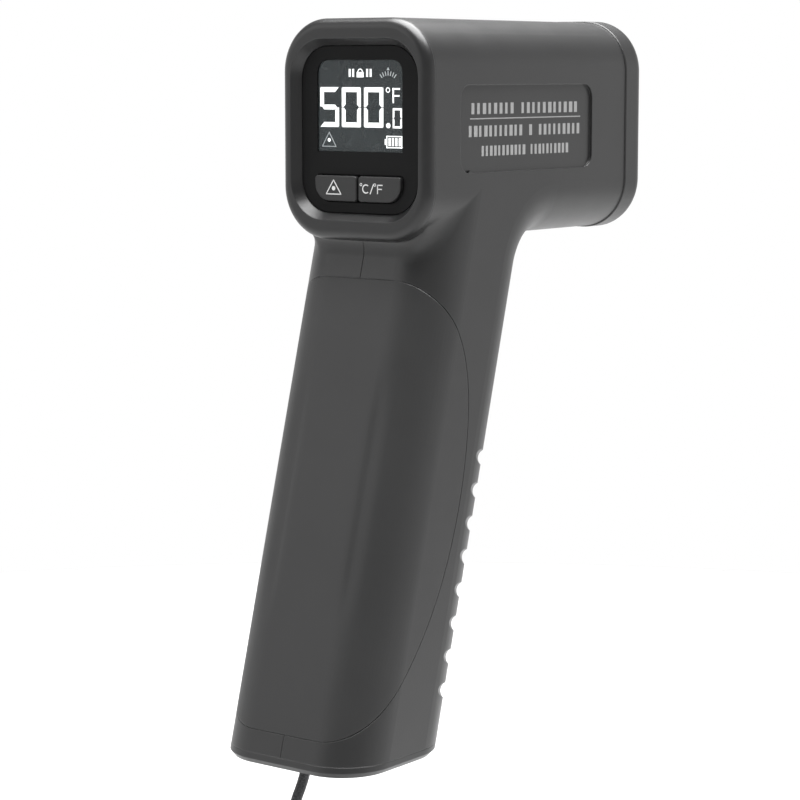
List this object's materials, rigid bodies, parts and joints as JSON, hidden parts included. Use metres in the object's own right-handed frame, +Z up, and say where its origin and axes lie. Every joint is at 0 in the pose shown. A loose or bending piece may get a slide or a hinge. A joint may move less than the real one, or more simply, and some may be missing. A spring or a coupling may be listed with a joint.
{
  "type": "infrared thermometer",
  "caption": "Pistol-grip infrared thermometer with a rear display and keys, a raked handle with a battery door, a sprung trigger, a muzzle lens and a wrist strap.",
  "frame": {"origin": "middle of the handle, on its own axis, where the hand closes round it", "axes": "+Z up, +Y from the display towards the muzzle, +X towards the side with the battery door's right edge in the view from behind"},
  "size_m": [0.043, 0.1256, 0.2596],
  "materials": {
    "body_plastic": "fine moulded texture, satin matt",
    "door_plastic": "fine moulded texture, satin matt",
    "bezel_plastic": "smooth satin black",
    "window_glass": "smoked, smooth",
    "lcd_glass": "smooth dark slate",
    "inner_plastic": "plain black moulding",
    "button_plastic": "soft satin rubber feel",
    "component_black": "moulded component body",
    "circuit_board": "green solder mask",
    "clear_lens": "clear",
    "infrared_lens": "milky moulded",
    "brass": "turned",
    "nickel_can": "nickel plated",
    "trigger_plastic": "satin",
    "steel": "zinc plated",
    "battery_can": "plain printed sleeve",
    "cord_fabric": "round braided cord",
    "ferrule_plastic": "moulded"
  },
  "bodies": {
    "body": {"left_housing": "body_plastic", "right_housing": "body_plastic", "housing_screws": "steel", "bottom_cap": "body_plastic", "rear_bezel": "bezel_plastic", "face_panel": "bezel_plastic", "display_window": "window_glass", "lcd_module": "lcd_glass", "lcd_frame": "inner_plastic", "button_switches": "component_black", "main_board": "circuit_board", "controller_chip": "component_black", "buzzer": "component_black", "nose_ring": "body_plastic", "laser_lens": "clear_lens", "lens_tube": "inner_plastic", "ir_lens": "infrared_lens", "laser_module": "brass", "thermopile": "nickel_can", "sensor_board": "circuit_board", "trigger_pin": "steel", "trigger_spring": "steel", "trigger_switch": "component_black", "trigger_board": "circuit_board", "battery_tray": "inner_plastic", "battery_up": "battery_can", "battery_down": "battery_can", "contact_plates": "nickel_can", "battery_springs": "steel", "strap_cord": "cord_fabric", "strap_knot": "component_black", "strap_ferrule": "ferrule_plastic"},
    "trigger": {"trigger": "trigger_plastic"},
    "laser_key": {"laser_button": "button_plastic"},
    "unit_key": {"unit_button": "button_plastic"},
    "door": {"battery_door": "door_plastic"}
  },
  "joints": [
    {"name": "trigger_pull", "type": "hinge", "parent": "body", "child": "trigger", "pos_m": [0, 0.029, 0.0535], "axis": [-1, 0, 0], "range_deg": [0, 5], "stiffness_Nm_per_rad": 0.5, "springref_deg": -2.86},
    {"name": "laser_key_press", "type": "slide", "parent": "body", "child": "laser_key", "axis": [0, 1, 0], "range_m": [0, 0.0005], "stiffness_N_per_m": 1500, "springref_m": -0.0003},
    {"name": "unit_key_press", "type": "slide", "parent": "body", "child": "unit_key", "axis": [0, 1, 0], "range_m": [0, 0.0005], "stiffness_N_per_m": 1500, "springref_m": -0.0003},
    {"name": "battery_door_lift", "type": "slide", "parent": "body", "child": "door", "axis": [0, -0.964, 0.2661], "range_m": [0, 0.045]}
  ]
}
